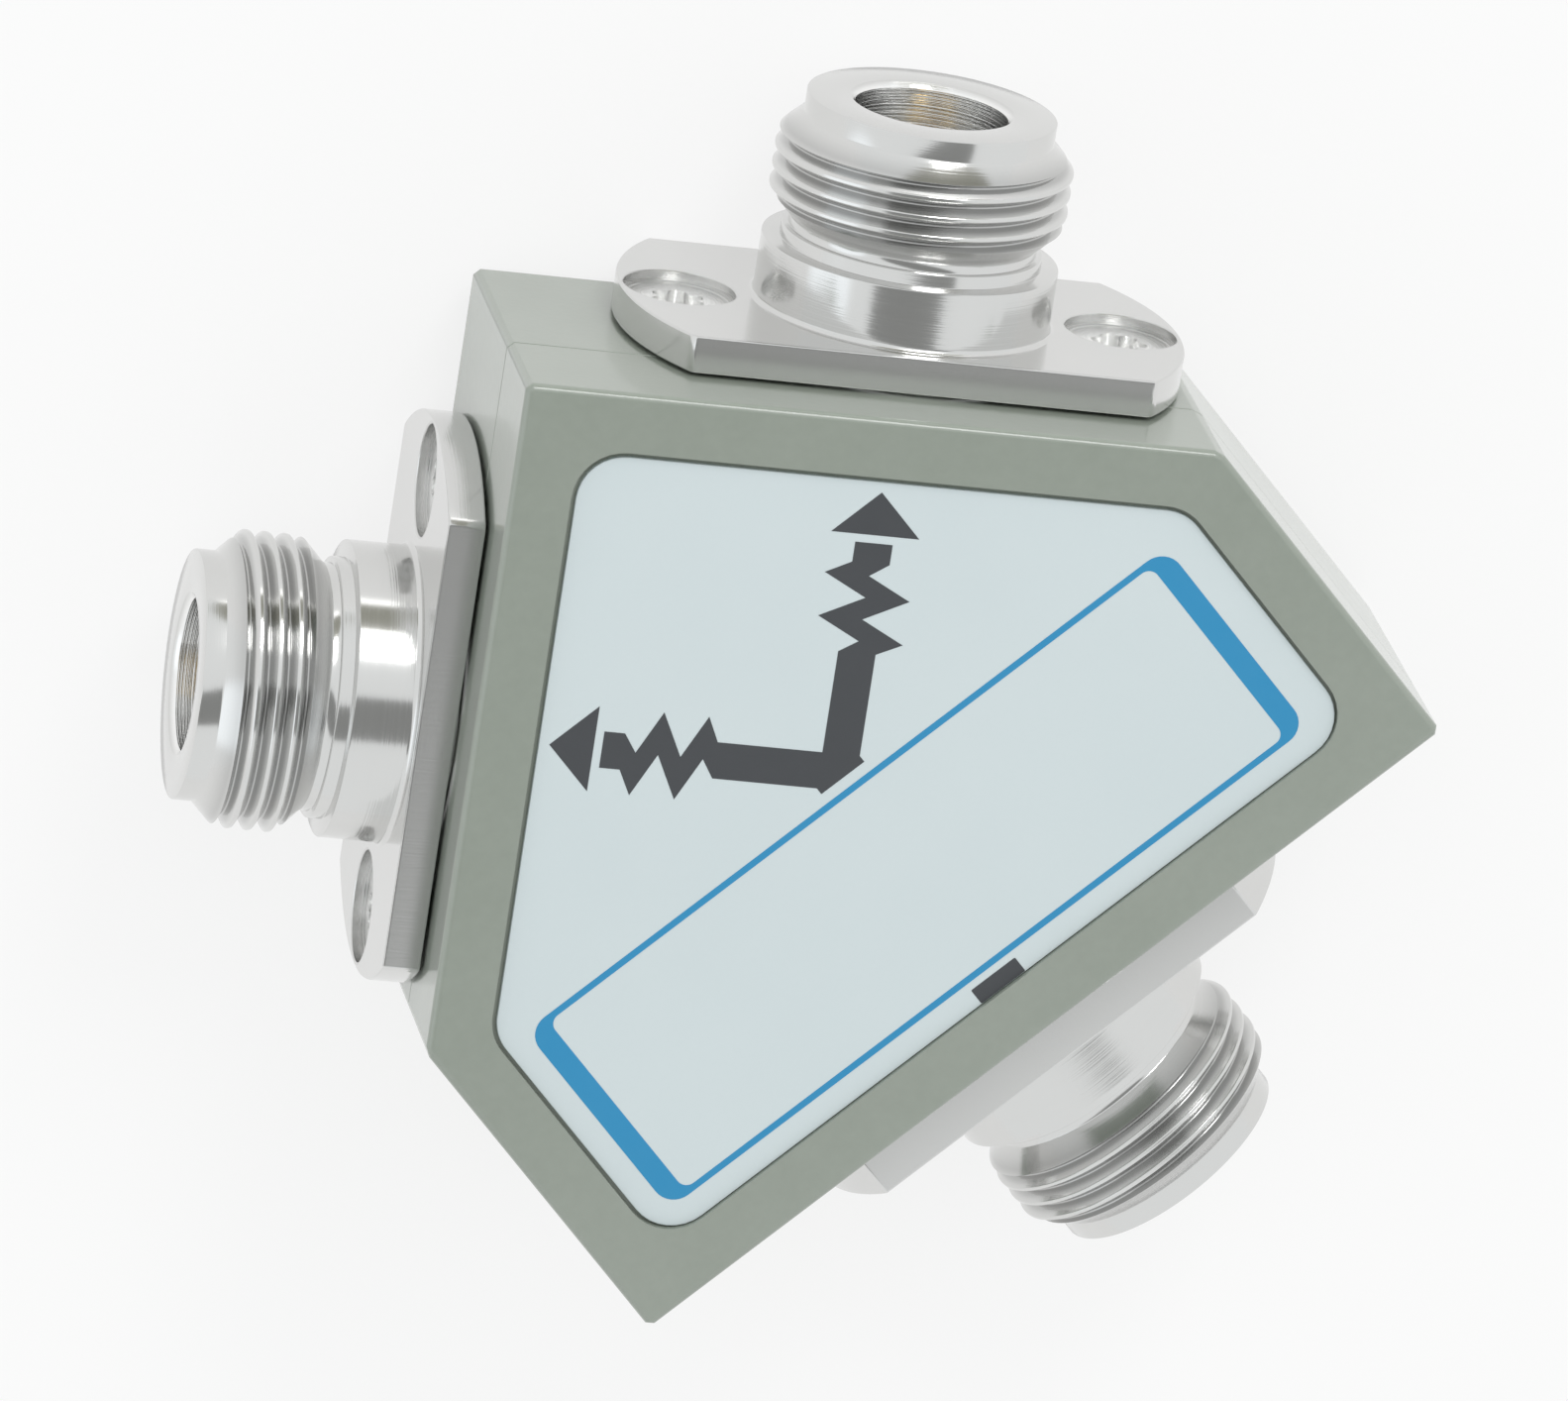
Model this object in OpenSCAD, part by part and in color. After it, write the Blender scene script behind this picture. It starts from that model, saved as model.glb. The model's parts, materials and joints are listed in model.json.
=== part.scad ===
// Two-resistor coaxial power splitter: a house-shaped painted metal housing with
// one input port in its base and one output port in each roof face. The housing lies
// on its back. +Z points out of the label face, +Y points to the roof's apex, and the
// axes of the three ports meet at the junction, inside the housing.

/* [Housing] */
// Width across the two straight side walls
body_w = 52.4; // [51:0.1:58]
// Height of the straight side walls, from the base to the eaves
wall_h = 19.9; // [18:0.1:26]
// Thickness, back face to front face
body_t = 20.8; // [19.5:0.1:26]
// Thickness of the front cover, seam to front face
cover_t = 7.4; // [5:0.1:8]
// Height of the port axes above the back face
axis_h = 7.65; // [6.5:0.05:8.5]
// Flat cut on the upright corners, measured along each wall
corner_cut = 0.35; // [0.2:0.05:1]
// Round on the front and back edges
edge_r = 0.4; // [0.1:0.05:0.9]
// Edge break along the seam between main body and front cover
seam_break = 0.1; // [0.05:0.05:0.3]

/* [Label] */
// Painted rim left around the label recess
label_rim = 3.2; // [2:0.1:5]
// Corner radius of the label recess
label_r = 2.7; // [1:0.1:4]
// Depth of the label recess
recess_d = 0.6; // [0.4:0.05:1.2]
// Thickness of the label plate
label_t = 0.3; // [0.1:0.05:0.4]
// Clearance between the label plate and the recess wall
label_gap = 0.2; // [0.15:0.05:0.5]
// How far the label plate sits towards the base within that clearance
label_drop = 0.15; // [0:0.05:0.15]

/* [Connector shell] */
// Radius of the mounting flange
flange_r = 15.15; // [14.9:0.05:16]
// Width of the mounting flange across its two flats
flange_w = 17.7; // [16.4:0.1:19]
// Thickness of the mounting flange
flange_t = 2; // [1.7:0.05:3]
// How much thicker the input port's flange is than those of the outputs
input_flange_extra = 1.45; // [0:0.05:2]
// Roof left between the flange and the eaves
flange_margin = 0.3; // [0:0.05:2]
// Radius of the raised seat under the flange
seat_r = 8.4; // [7:0.1:9]
// Height of the raised seat, which is the gap under the flange's edge
seat_h = 0.2; // [0.1:0.05:0.6]
// Diameter of the base cylinder on the flange
base_d = 15.8; // [14.5:0.1:16.5]
// Length of the base cylinder
base_l = 3.35; // [2:0.05:6]
// Fillet at the foot of the base cylinder
base_foot = 0.3; // [0.1:0.05:0.5]
// Diameter of the collar between base and neck
collar_d = 13.9; // [13.3:0.1:14.3]
// Length of the collar
collar_l = 0.7; // [0.3:0.1:1.5]
// Diameter of the neck behind the thread
neck_d = 13.2; // [12:0.1:13.2]
// Length of the neck
neck_l = 0.5; // [0.2:0.1:2]
// Length of the chamfer behind the thread
thread_lead = 1.3; // [0.8:0.05:1.8]
// Major diameter of the coupling thread
thread_d = 15.8; // [15.2:0.05:16]
// Length of the full thread
thread_l = 3.05; // [2:0.05:6]
// Length of the chamfer in front of the thread
thread_nose = 1.25; // [0.8:0.05:1.8]
// Diameter of the barrel in front of the thread
barrel_d = 13.3; // [11.5:0.1:14]
// Length of the barrel
barrel_l = 1.15; // [0.5:0.05:3]
// Diameter of the mating bore
bore_d = 8.1; // [7.6:0.05:9]
// Depth of the mating bore, front face to mating plane
bore_depth = 9.1; // [8:0.1:10]
// Inner diameter of the outer conductor behind the mating plane
line_d = 7; // [6:0.05:7.5]
// Length of that outer conductor, mating plane to support bead
line_l = 2; // [1:0.1:3]
// Diameter of the pilot that enters the housing wall
pilot_d = 9.8; // [9.2:0.1:10.4]
// Length of the pilot
pilot_l = 3.3; // [2.5:0.1:4.5]

/* [Centre conductor] */
// Diameter of the socket contact
contact_d = 3.04; // [2.6:0.02:3.4]
// Reach of the contact's tip in front of the mating plane
contact_reach = 5.26; // [4.5:0.02:6]
// Diameter of the hole that takes the mating pin
socket_d = 1.66; // [1.5:0.02:1.9]
// Depth of that hole
socket_depth = 5; // [4:0.1:6]
// Width of the slots that part the contact into four fingers
slot_w = 0.3; // [0.15:0.05:0.5]
// Length of the slots
slot_l = 4.4; // [3:0.1:5]
// Diameter of the contact's stem
stem_d = 2; // [1.6:0.05:2.4]
// Diameter of the soldered tail
tail_d = 1.2; // [0.8:0.05:1.5]
// Length of the soldered tail
tail_l = 1.8; // [1:0.1:2.5]
// Depth of the tail's flat underside below the port axis
tail_flat = 0.35; // [0.1:0.05:0.38]
// Diameter of the support bead and of its retainer
bead_d = 8; // [7.6:0.05:8.4]
// Thickness of the support bead
bead_t = 2.2; // [1.2:0.1:3]
// Inner diameter of the retainer behind the bead
retainer_id = 4.6; // [3.6:0.1:5.2]

/* [Circuit] */
// Width of the channel milled along each port axis
channel_w = 5.4; // [5:0.1:7]
// Clearance between the channel wall and the substrate
channel_gap = 0.3; // [0.1:0.05:0.6]
// Thickness of the ceramic substrate
substrate_t = 0.635; // [0.4:0.005:1]
// Width of the conductor strip
strip_w = 0.6; // [0.3:0.05:1]
// Thickness of the conductor strip
strip_t = 0.1; // [0.05:0.01:0.2]
// Distance from the junction to the middle of each resistor
resistor_at = 4.2; // [3.5:0.1:7]
// Length of each resistor chip
resistor_l = 2; // [1.4:0.1:3]
// Width of each resistor chip
resistor_w = 1.25; // [0.8:0.05:2]
// Height of each resistor chip
resistor_h = 0.4; // [0.3:0.05:0.8]
// Length of each solder end under a resistor chip
resistor_end = 0.5; // [0.2:0.05:0.6]

/* [Screws] */
// Distance of each flange screw from the port axis
screw_at = 11.9; // [11.3:0.1:12]
// Thread diameter of the flange screws
screw_d = 3; // [2.5:0.1:3]
// Head diameter of the flange screws
head_d = 5.5; // [4.8:0.1:5.6]
// Clearance around the head in its counterbore
head_gap = 0.25; // [0.1:0.05:0.35]
// Flange thickness left under the screw's cone
head_land = 0.15; // [0.05:0.05:0.3]
// Reach of the flange screws into the housing
screw_reach = 4.5; // [3:0.1:6]
// Thread diameter of the cover screws
cover_screw_d = 2.5; // [2:0.1:2.6]
// Head diameter of the cover screws
cover_head_d = 4.5; // [4:0.1:5]
// Reach of the cover screws below the seam
cover_reach = 4.5; // [3:0.1:6]
// Inset of the cover screws from the housing's walls
cover_inset = 6.2; // [5.8:0.1:7]
// Depth of the drive recess as a share of the head diameter
drive_share = 0.18; // [0.1:0.01:0.2]

/* [Fits] */
// Radial clearance of turned and threaded fits
fit = 0.03; // [0.01:0.01:0.06]
// Depth left free beyond a pilot or a screw's tip
bottom_gap = 0.3; // [0.1:0.1:1]
// Small edge break on turned pieces
edge_break = 0.15; // [0.05:0.05:0.25]

/* [Hidden] */
$fn = 96;
eps = 0.01;

PORTS = ["input", "left_output", "right_output"];

PAINT = [0.58, 0.61, 0.56];
LABEL = [0.82, 0.86, 0.87];
STEEL = [0.78, 0.78, 0.77];
GOLD = [0.86, 0.68, 0.32];
BEAD = [0.93, 0.92, 0.86];
CERAMIC = [0.94, 0.94, 0.92];
RESISTOR = [0.16, 0.16, 0.18];

// Stations along a port, measured outwards from the housing's side face
flange_top = seat_h + flange_t;
base_top = flange_top + base_l;
collar_top = base_top + collar_l;
neck_top = collar_top + neck_l;
thread_back = neck_top + thread_lead;
thread_front = thread_back + thread_l;
barrel_back = thread_front + thread_nose;
shell_front = barrel_back + barrel_l;
mating_plane = shell_front - bore_depth;
bead_front = mating_plane - line_l;
bead_back = bead_front - bead_t;
contact_tip = mating_plane + contact_reach;

// The roof slopes at 45 degrees, so an output axis that stands on the roof at some
// distance from the apex reaches the centre line at the same distance from the roof.
half_w = body_w / 2;
roof_l = half_w * sqrt(2);
output_reach = roof_l - flange_margin - flange_r;
apex_y = output_reach * sqrt(2);
eaves_y = apex_y - half_w;
base_y = eaves_y - wall_h;
port_angle = [-90, 135, 45];
port_reach = [-base_y, output_reach, output_reach];

// The input port's thicker flange lifts the rest of that port away from the side face
port_lift = [input_flange_extra, 0, 0];
function lifted(pts, i) = [for (p = pts) p + [0, port_lift[i]]];

// Heights, and the shift that centres the part over its origin
axis_z = max(flange_w / 2, axis_h);
back_z = axis_z - axis_h;
seam_z = back_z + body_t - cover_t;
front_z = back_z + body_t;
recess_z = front_z - recess_d;
tip_y = (output_reach + shell_front + barrel_d / 2 - edge_break) / sqrt(2);
top_y = max(apex_y - corner_cut / sqrt(2), tip_y);
shift_y = (shell_front + input_flange_extra - base_y - top_y) / 2;
strip_z = axis_z - tail_flat - strip_t;
substrate_z = strip_z - substrate_t;

// Points of the house-shaped outline, moved inwards by m, anticlockwise from the lower left
function house(m) = let (x = half_w - m, top = apex_y - m * sqrt(2))
    [[-x, base_y + m], [x, base_y + m], [x, top - x], [0, top], [-x, top - x]];
function unit(v) = v / norm(v);
function turned(v, t) = [v.x * cos(t) - v.y * sin(t), v.x * sin(t) + v.y * cos(t)];
function before(pts, i) = pts[(i + len(pts) - 1) % len(pts)];
function after(pts, i) = pts[(i + 1) % len(pts)];

// An outline with each corner cut off at the distance c along both of its sides
function cut_corners(pts, c) = [for (i = [0 : len(pts) - 1]) for (q = [before(pts, i), after(pts, i)])
    pts[i] + unit(q - pts[i]) * c];

// The arc of radius r that rounds the corner b of the path a, b, c
function corner_arc(a, b, c, r) = let (
    u = unit(a - b),
    w = unit(c - b),
    half = acos(u * w) / 2,
    centre = b + unit(u + w) * r / sin(half),
    start = b + u * r / tan(half) - centre,
    steps = 8)
    [for (i = [0 : steps]) centre + turned(start, (180 - 2 * half) * i / steps)];
function round_corners(pts, r) = [for (i = [0 : len(pts) - 1])
    each corner_arc(before(pts, i), pts[i], after(pts, i), r)];

// Where the cover screws stand: in the two base corners and under the apex
cover_screw_places = let (h = house(cover_inset)) [h[0], h[1], h[3]];

// Sets the port axes' junction on its place above the origin
module at_junction() {
    translate([0, shift_y, 0]) children();
}

// Looks out of a port: +Z is its axis, from the side face outwards, and +X points down
module at_port(i) {
    at_junction() translate([0, 0, axis_z]) rotate([0, 0, port_angle[i]]) rotate([0, 90, 0])
        translate([0, 0, port_reach[i]]) children();
}

// The places of the two flange screws of a port, in that port's own frame
module at_flange_screws() {
    for (side = [-1, 1]) translate([0, side * screw_at, 0]) children();
}

// A prism on the house outline
module house_block(z0, z1) {
    translate([0, 0, z0]) linear_extrude(z1 - z0) polygon(cut_corners(house(0), corner_cut));
}

// The waste outside the edges of one end face of that prism, rounded by r: up is 1 for a face that looks up
module edge_waste(z, up, r) {
    pts = cut_corners(house(0), corner_cut);
    for (i = [0 : len(pts) - 1]) {
        d = after(pts, i) - pts[i];
        translate([pts[i].x, pts[i].y, z]) rotate([0, 0, atan2(d.y, d.x)]) mirror([0, 0, up > 0 ? 0 : 1])
            translate([-r, 0, 0]) rotate([90, 0, 90]) linear_extrude(norm(d) + 2 * r) difference() {
                translate([-r, -r]) square(2 * r);
                translate([r, -r]) circle(r, $fn = 48);
            }
    }
}

// A bar along a port axis, from the junction for the length l, seen from above
module bar(i, from, to, w) {
    rotate(port_angle[i]) translate([from, -w / 2]) square([to - from, w]);
}

// The Y shape that follows the three port axes, with a margin left before each side face
module y_shape(w, margin) {
    circle(d = w);
    for (i = [0 : 2]) bar(i, 0, port_reach[i] - margin, w);
}

// A ring turned about the port axis
module ring(r_in, r_out, l0, l1) {
    rotate_extrude() translate([r_in, l0]) square([r_out - r_in, l1 - l0]);
}

// A countersunk screw along Z: its head's flat top lies at l = 0 and its tip at l = -total
module countersunk_screw(d, head, total) {
    cone = (head - d) / 2;
    depth = head * drive_share;
    lobe_r = head * 0.09;
    difference() {
        rotate_extrude() polygon([
            [0, 0], [head / 2, 0], [d / 2, -cone], [d / 2, edge_break - total],
            [d / 2 - edge_break, -total], [0, -total]
        ]);
        translate([0, 0, -depth]) {
            cylinder(r = 2 * lobe_r, h = depth + eps);
            for (k = [0 : 5]) rotate(60 * k) translate([2 * lobe_r, 0, 0])
                cylinder(r = lobe_r, h = depth + eps, $fn = 24);
        }
    }
}

// The hole for such a screw, open upwards through a counterbore of radius r and height up
module countersunk_hole(d, head, through, r, up) {
    cone = (head - d) / 2;
    rotate_extrude() polygon([
        [0, up], [r, up], [r, 0], [head / 2 + fit, 0], [d / 2 + fit, -cone],
        [d / 2 + fit, -through], [0, -through]
    ]);
}

foot_steps = 4;
foot_arc = [for (i = [0 : foot_steps]) let (t = 270 - 90 * i / foot_steps)
    [base_d / 2, flange_top] + base_foot * [1 + cos(t), 1 + sin(t)]];
flange_cone = (head_d - screw_d) / 2;
head_top = seat_h + head_land + flange_cone;
cover_hole_l = cover_t - recess_d;

// Milled from one block: the Y channel opens at the seam, the side faces take the pilots and screws
module main_body() {
    color(PAINT) difference() {
        at_junction() difference() {
            house_block(back_z, seam_z);
            edge_waste(back_z, -1, edge_r);
            edge_waste(seam_z, 1, seam_break);
            translate([0, 0, substrate_z]) linear_extrude(body_t) y_shape(channel_w, pilot_l);
            for (p = cover_screw_places) translate([p.x, p.y, seam_z - cover_reach - bottom_gap])
                cylinder(r = cover_screw_d / 2 + fit, h = cover_reach + bottom_gap + eps);
        }
        for (i = [0 : 2]) at_port(i) {
            translate([0, 0, -pilot_l - bottom_gap])
                cylinder(r = pilot_d / 2 + fit, h = pilot_l + bottom_gap + eps);
            screw_depth = screw_reach - port_lift[i] + bottom_gap;
            at_flange_screws() translate([0, 0, -screw_depth])
                cylinder(r = screw_d / 2 + fit, h = screw_depth + eps);
        }
    }
}

// Closes the channel: the label recess in its face also hides the three cover screws
module front_cover() {
    color(PAINT) at_junction() difference() {
        house_block(seam_z, front_z);
        edge_waste(front_z, 1, edge_r);
        edge_waste(seam_z, -1, seam_break);
        translate([0, 0, recess_z]) linear_extrude(recess_d + eps)
            polygon(round_corners(house(label_rim), label_r));
        for (p = cover_screw_places) translate([p.x, p.y, recess_z])
            countersunk_hole(cover_screw_d, cover_head_d, cover_hole_l + eps, cover_head_d / 2 + fit, eps);
    }
}

// Thin plate glued into the recess
module label_plate() {
    color(LABEL) at_junction() translate([0, -label_drop, recess_z]) linear_extrude(label_t)
        polygon(round_corners(house(label_rim + label_gap), label_r - label_gap));
}

module cover_screws() {
    color(STEEL) at_junction() for (p = cover_screw_places) translate([p.x, p.y, recess_z])
        countersunk_screw(cover_screw_d, cover_head_d, cover_hole_l + cover_reach);
}

module flange_screws() {
    color(STEEL) for (i = [0 : 2]) at_port(i) at_flange_screws() translate([0, 0, head_top + port_lift[i]])
        countersunk_screw(screw_d, head_d, head_top + screw_reach);
}

// Turned and milled from one bar: pilot, seat, two-flat flange, base, neck, thread and barrel
module connector_shell(i) {
    thickness = flange_t + port_lift[i];
    screw_top = head_top + port_lift[i];
    color(STEEL) at_port(i) difference() {
        union() {
            rotate_extrude() polygon(concat([
                [0, -pilot_l], [pilot_d / 2 - edge_break, -pilot_l], [pilot_d / 2, edge_break - pilot_l],
                [pilot_d / 2, 0], [seat_r, 0], [seat_r, seat_h], [base_d / 2 + base_foot, seat_h]
            ], lifted([
                each foot_arc, [base_d / 2, base_top - edge_break], [base_d / 2 - edge_break, base_top],
                [collar_d / 2, base_top], [collar_d / 2, collar_top], [neck_d / 2, collar_top],
                [neck_d / 2, neck_top], [thread_d / 2, thread_back], [thread_d / 2, thread_front],
                [barrel_d / 2, barrel_back], [barrel_d / 2, shell_front - edge_break],
                [barrel_d / 2 - edge_break, shell_front], [0, shell_front]
            ], i)));
            translate([0, 0, seat_h]) intersection() {
                cylinder(r = flange_r, h = thickness);
                translate([-flange_w / 2, -flange_r, 0]) cube([flange_w, 2 * flange_r, thickness]);
            }
        }
        rotate_extrude() polygon(concat([[0, -pilot_l - eps], [bead_d / 2, -pilot_l - eps]], lifted([
            [bead_d / 2, bead_front], [line_d / 2, bead_front], [line_d / 2, mating_plane],
            [bore_d / 2, mating_plane], [bore_d / 2, shell_front - 2 * edge_break],
            [bore_d / 2 + 2 * edge_break, shell_front], [bore_d / 2 + 2 * edge_break, shell_front + eps],
            [0, shell_front + eps]
        ], i)));
        at_flange_screws() translate([0, 0, screw_top])
            countersunk_hole(screw_d, head_d, screw_top, head_d / 2 + head_gap, flange_t);
    }
}

// Turned pin with a slotted socket in front, a stem through the bead and a flattened tail
module center_contact(i) {
    r = contact_d / 2;
    tip = contact_tip + port_lift[i];
    color(GOLD) at_port(i) difference() {
        union() {
            rotate_extrude() polygon(concat([[0, -pilot_l], [stem_d / 2, -pilot_l]], lifted([
                [stem_d / 2, bead_front], [r, bead_front], [r, contact_tip - edge_break],
                [r - edge_break, contact_tip], [0, contact_tip]
            ], i)));
            translate([0, 0, -pilot_l - tail_l]) intersection() {
                cylinder(d = tail_d, h = tail_l + eps);
                translate([-tail_d, -tail_d, 0]) cube([tail_d + tail_flat, 2 * tail_d, tail_l + eps]);
            }
        }
        translate([0, 0, tip - socket_depth]) cylinder(d = socket_d, h = socket_depth + eps);
        for (t = [0, 90]) rotate(t) translate([-r - eps, -slot_w / 2, tip - slot_l])
            cube([2 * (r + eps), slot_w, slot_l + eps]);
    }
}

// Low-loss plastic washer that centres the contact
module support_bead(i) {
    color(BEAD) at_port(i) translate([0, 0, port_lift[i]])
        ring(stem_d / 2 + fit, bead_d / 2 - fit, bead_back, bead_front);
}

// Bush pressed into the pilot, which holds the bead against its shoulder
module bead_retainer(i) {
    color(STEEL) at_port(i) ring(retainer_id / 2, bead_d / 2 - fit, -pilot_l, bead_back + port_lift[i]);
}

// Y-shaped ceramic plate on the floor of the channel
module ceramic_substrate() {
    color(CERAMIC) at_junction() translate([0, 0, substrate_z]) linear_extrude(substrate_t)
        y_shape(channel_w - 2 * channel_gap, pilot_l + channel_gap);
}

resistor_from = resistor_at - resistor_l / 2;
resistor_to = resistor_at + resistor_l / 2;

// Printed conductor: the input line forks at the junction and ends under the resistors
module junction_strip() {
    color(GOLD) at_junction() translate([0, 0, strip_z]) linear_extrude(strip_t) {
        circle(d = strip_w);
        bar(0, 0, port_reach[0] - pilot_l - channel_gap, strip_w);
        for (i = [1, 2]) bar(i, 0, resistor_from + resistor_end, strip_w);
    }
}

// Printed conductor from a resistor to its output port
module output_strip(i) {
    color(GOLD) at_junction() translate([0, 0, strip_z]) linear_extrude(strip_t)
        bar(i, resistor_to - resistor_end, port_reach[i] - pilot_l - channel_gap, strip_w);
}

// Chip resistor that bridges the gap between two strips
module resistor(i) {
    color(RESISTOR) at_junction() translate([0, 0, strip_z + strip_t]) linear_extrude(resistor_h)
        bar(i, resistor_from, resistor_to, resistor_w);
}

main_body();
front_cover();
label_plate();
cover_screws();
flange_screws();
connector_shell(0);  // input_connector_shell
connector_shell(1);  // left_output_connector_shell
connector_shell(2);  // right_output_connector_shell
center_contact(0);  // input_center_contact
center_contact(1);  // left_output_center_contact
center_contact(2);  // right_output_center_contact
support_bead(0);  // input_support_bead
support_bead(1);  // left_output_support_bead
support_bead(2);  // right_output_support_bead
bead_retainer(0);  // input_bead_retainer
bead_retainer(1);  // left_output_bead_retainer
bead_retainer(2);  // right_output_bead_retainer
ceramic_substrate();
junction_strip();
output_strip(1);  // left_output_strip
output_strip(2);  // right_output_strip
resistor(1);  // left_resistor
resistor(2);  // right_resistor
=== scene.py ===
import json
import math

import bpy
from mathutils import Matrix, Vector


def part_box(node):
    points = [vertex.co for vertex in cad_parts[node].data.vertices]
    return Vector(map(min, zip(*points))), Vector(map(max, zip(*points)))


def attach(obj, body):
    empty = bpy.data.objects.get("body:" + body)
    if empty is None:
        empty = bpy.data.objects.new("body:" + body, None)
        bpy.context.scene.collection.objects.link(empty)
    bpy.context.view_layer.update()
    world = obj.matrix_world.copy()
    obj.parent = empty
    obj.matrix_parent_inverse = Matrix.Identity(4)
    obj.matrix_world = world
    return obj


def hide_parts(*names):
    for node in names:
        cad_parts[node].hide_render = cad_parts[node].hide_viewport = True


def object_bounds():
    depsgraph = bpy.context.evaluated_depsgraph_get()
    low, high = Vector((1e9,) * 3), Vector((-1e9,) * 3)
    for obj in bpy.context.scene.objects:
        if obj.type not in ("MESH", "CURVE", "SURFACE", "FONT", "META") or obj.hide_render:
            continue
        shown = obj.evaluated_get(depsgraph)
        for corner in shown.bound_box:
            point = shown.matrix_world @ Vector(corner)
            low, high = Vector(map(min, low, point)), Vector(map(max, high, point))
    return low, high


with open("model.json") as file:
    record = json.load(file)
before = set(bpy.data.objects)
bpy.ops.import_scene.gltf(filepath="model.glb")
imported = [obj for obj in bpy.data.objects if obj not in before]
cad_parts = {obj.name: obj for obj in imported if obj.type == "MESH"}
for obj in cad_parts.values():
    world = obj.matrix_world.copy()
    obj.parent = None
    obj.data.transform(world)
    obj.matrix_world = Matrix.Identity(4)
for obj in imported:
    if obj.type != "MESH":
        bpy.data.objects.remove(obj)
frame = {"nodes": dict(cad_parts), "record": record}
cad_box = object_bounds()


# Main body
# The back part of the housing: an aluminium block, milled with a channel for the circuit and with
# bores for the ports, and sprayed with a thin, finely textured grey-green paint. The front cover
# is screwed onto it, and the paint softens its cut corners.

MM = 0.001
WELD = 0.001 * MM


class Shade:
    """One output in a shader tree. Sums and products of shades add Math nodes to that tree."""

    def __init__(self, tree, socket=None):
        self.tree = tree
        self.socket = socket

    def node(self, kind, settings=(), inputs=(), output=0):
        """Adds a node: first its settings, then a value or a shade for each of the named sockets."""
        made = self.tree.nodes.new("ShaderNode" + kind)
        for name, value in dict(settings).items():
            setattr(made, name, value)
        for name, value in dict(inputs).items():
            socket = made.inputs[name]
            if isinstance(value, Shade):
                self.tree.links.new(value.socket, socket)
            elif socket.type == "RGBA":
                socket.default_value = (*value, 1)
            else:
                socket.default_value = value
        return Shade(self.tree, made.outputs[output] if made.outputs else None)

    def math(self, operation, left, right):
        return self.node("Math", {"operation": operation}, {0: left, 1: right})

    def __add__(self, other):
        return self.math("ADD", self, other)

    def __sub__(self, other):
        return self.math("SUBTRACT", self, other)

    def __rsub__(self, other):
        return self.math("SUBTRACT", other, self)

    def __mul__(self, other):
        return self.math("MULTIPLY", self, other)

    def __pow__(self, other):
        return self.math("POWER", self, other)

    def __abs__(self):
        return self.math("ABSOLUTE", self, 0)

    __radd__ = __add__
    __rmul__ = __mul__

    def axes(self):
        """The three coordinates of this vector."""
        split = self.node("SeparateXYZ", inputs={0: self})
        return [Shade(self.tree, output) for output in split.socket.node.outputs]

    def rise(self, start, end):
        """0 before start and 1 after end, with a soft step between them."""
        limits = {"Value": self, "From Min": start, "From Max": end}
        return self.node("MapRange", {"interpolation_type": "SMOOTHSTEP"}, limits)

    def mix(self, low, high):
        """The colour low where this shade is 0 and the colour high where it is 1."""
        return self.node("Mix", {"data_type": "RGBA"}, {0: self, 6: low, 7: high}, 2)

    def noise(self, size, detail=2, dimensions="3D"):
        """Soft noise from 0 to 1 over these coordinates, with blotches of the given size."""
        settings = {"noise_dimensions": dimensions}
        return self.node("TexNoise", settings, {"Vector": self, "Scale": 1 / size, "Detail": detail})

    def bump(self, height, strength):
        """The normal of a surface that this shade raises by the given height."""
        return self.node("Bump", inputs={"Height": self, "Distance": height, "Strength": strength})

    def principled(self, sockets):
        surface = self.node("BsdfPrincipled", inputs=sockets)
        self.node("OutputMaterial", inputs={"Surface": surface})


def new_material(name):
    """An empty material, and the shade from which its nodes are made."""
    material = bpy.data.materials.new(name)
    material.use_nodes = True
    material.node_tree.nodes.clear()
    return material, Shade(material.node_tree)


def housing_paint():
    """Glossy enamel over a fine orange peel, with a faint mottling in the colour."""
    material, paint = new_material("housing_paint")
    place = paint.node("TexCoord", output="Object")
    mottle = place.noise(5 * MM, 3)
    grain = place.noise(0.6 * MM, 5)
    peel = place.noise(0.45 * MM, 3)
    green = (mottle * 0.5 + grain * 0.5).mix((0.252, 0.284, 0.240), (0.312, 0.344, 0.298))
    paint.principled({
        "Base Color": green,
        "Roughness": 0.3 + grain * 0.1,
        "Coat Weight": 0.7 + mottle * 0.2,
        "Coat Roughness": 0.12,
        "Normal": peel.bump(0.012 * MM, 0.8),
    })
    return material


def work_on(piece):
    """Makes a piece the only one selected, so that operators act on it alone."""
    bpy.ops.object.select_all(action="DESELECT")
    bpy.context.view_layer.objects.active = piece
    piece.select_set(True)


def edit_all(piece):
    """Opens a piece for editing, with all of it selected."""
    work_on(piece)
    bpy.ops.object.mode_set(mode="EDIT")
    bpy.ops.mesh.select_all(action="SELECT")


def apply_modifier(piece, kind, **settings):
    """Adds a modifier to a piece, gives it its settings and applies it."""
    work_on(piece)
    bpy.ops.object.modifier_add(type=kind)
    modifier = piece.modifiers[-1]
    for name, value in settings.items():
        setattr(modifier, name, value)
    bpy.ops.object.modifier_apply(modifier=modifier.name)


def shade_smooth(piece, angle):
    """Smooth shading over the edges that turn by less than the angle, with flat faces kept flat."""
    work_on(piece)
    bpy.ops.object.shade_smooth_by_angle(angle=math.radians(angle))
    apply_modifier(piece, "WEIGHTED_NORMAL", keep_sharp=True)


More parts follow.
